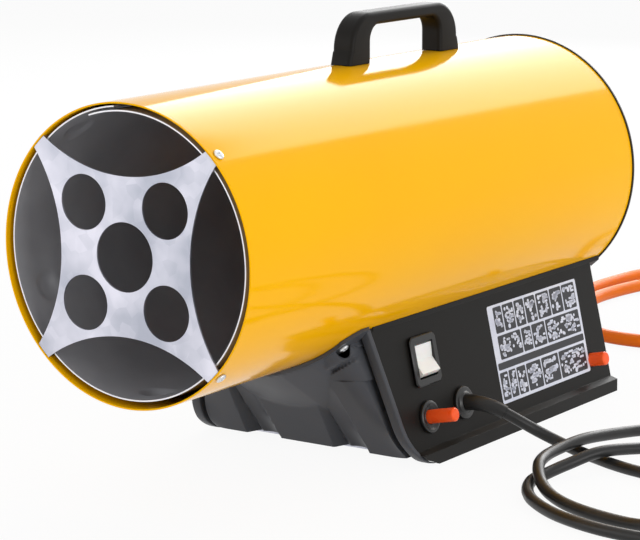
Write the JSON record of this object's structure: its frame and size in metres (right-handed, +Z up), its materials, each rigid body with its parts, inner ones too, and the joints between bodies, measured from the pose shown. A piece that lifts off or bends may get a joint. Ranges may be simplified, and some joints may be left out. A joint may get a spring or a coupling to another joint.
{
  "type": "forced air heater",
  "caption": "Portable gas forced air heater: round enamelled casing on a moulded base, carrying handle on top, controls on the side, mains lead and gas hose with regulator.",
  "frame": {"origin": "centre of the base's underside, on the floor", "axes": "+Z up, hot air leaves along -Y, the control panel faces +X"},
  "size_m": [0.5613, 1.0524, 0.324],
  "materials": {
    "yellow_enamel": "gloss enamel",
    "motor_enamel": "satin enamel",
    "heated_steel": "mill finish, darkened by heat",
    "galvanised_steel": "galvanised",
    "zinc_screw": "bright zinc",
    "cast_aluminium": "cast",
    "brass": "turned",
    "copper": "drawn copper",
    "ceramic": "glazed ceramic",
    "black_plastic": "fine grain",
    "grey_plastic": "fine grain",
    "black_rubber": "matt",
    "white_plastic": "smooth",
    "red_plastic": "smooth",
    "orange_rubber": "smooth hose"
  },
  "bodies": {
    "heater": {"outer_casing": "yellow_enamel", "combustion_chamber": "heated_steel", "baffle_plate": "galvanised_steel", "burner_bracket": "galvanised_steel", "burner_head": "heated_steel", "gas_nozzle": "brass", "spark_electrode": "ceramic", "thermocouple": "brass", "overheat_thermostat": "black_plastic", "fan_motor": "motor_enamel", "rear_guard": "galvanised_steel", "rear_ring": "black_rubber", "carrying_handle": "black_plastic", "base_housing": "black_plastic", "front_shell": "grey_plastic", "base_plate": "galvanised_steel", "switch_bezel": "black_plastic", "switch_body": "black_plastic", "igniter_collar": "black_plastic", "igniter_body": "black_plastic", "gas_valve": "cast_aluminium", "burner_pipe": "copper", "inlet_pipe": "copper", "gas_inlet": "brass", "hose_nut": "brass", "inlet_ferrule": "galvanised_steel", "gas_hose": "orange_rubber", "outlet_ferrule": "galvanised_steel", "regulator_body": "cast_aluminium", "cable_gland": "black_plastic", "strain_relief": "black_rubber", "mains_cable": "black_rubber", "plug_body": "black_rubber", "plug_pin_1": "brass", "plug_pin_2": "brass", "baffle_screw_1": "zinc_screw", "baffle_screw_2": "zinc_screw", "baffle_screw_3": "zinc_screw", "baffle_screw_4": "zinc_screw", "motor_screw_1": "zinc_screw", "motor_screw_2": "zinc_screw", "handle_screw_1": "zinc_screw", "handle_screw_2": "zinc_screw", "housing_screw_1": "zinc_screw", "housing_screw_2": "zinc_screw", "shell_screw_1": "zinc_screw", "shell_screw_2": "zinc_screw", "base_screw_1": "zinc_screw", "base_screw_2": "zinc_screw", "base_screw_3": "zinc_screw", "base_screw_4": "zinc_screw"},
    "fan_rotor": {"axial_fan": "cast_aluminium", "motor_shaft": "zinc_screw", "fan_nut": "zinc_screw"},
    "rocker_key": {"rocker": "white_plastic"},
    "igniter_plunger": {"igniter_button": "red_plastic"},
    "gas_plunger": {"gas_button": "red_plastic"},
    "knob": {"regulator_knob": "red_plastic"},
    "bottle_connector": {"bottle_nut": "brass"}
  },
  "joints": [
    {"name": "fan_spin", "type": "hinge", "parent": "heater", "child": "fan_rotor", "pos_m": [0, 0.045, 0.181], "axis": [0, 1, 0], "continuous": true},
    {"name": "rocker_tilt", "type": "hinge", "parent": "heater", "child": "rocker_key", "pos_m": [0.08004, -0.1247, 0.07375], "axis": [0, 1, 0], "range_deg": [0, 22]},
    {"name": "igniter_press", "type": "slide", "parent": "heater", "child": "igniter_plunger", "axis": [-0.9763, 0, -0.2164], "range_m": [0, 0.008], "stiffness_N_per_m": 1200, "springref_m": -0.001},
    {"name": "gas_press", "type": "slide", "parent": "heater", "child": "gas_plunger", "axis": [-0.9763, 0, -0.2164], "range_m": [0, 0.005], "stiffness_N_per_m": 800, "springref_m": -0.001},
    {"name": "knob_turn", "type": "hinge", "parent": "heater", "child": "knob", "pos_m": [0.075, 0.4114, 0.03], "axis": [0, 0, 1], "range_deg": [0, 270]},
    {"name": "bottle_nut_spin", "type": "hinge", "parent": "heater", "child": "bottle_connector", "pos_m": [0.075, 0.365, 0.014], "axis": [0, 1, 0], "continuous": true}
  ]
}
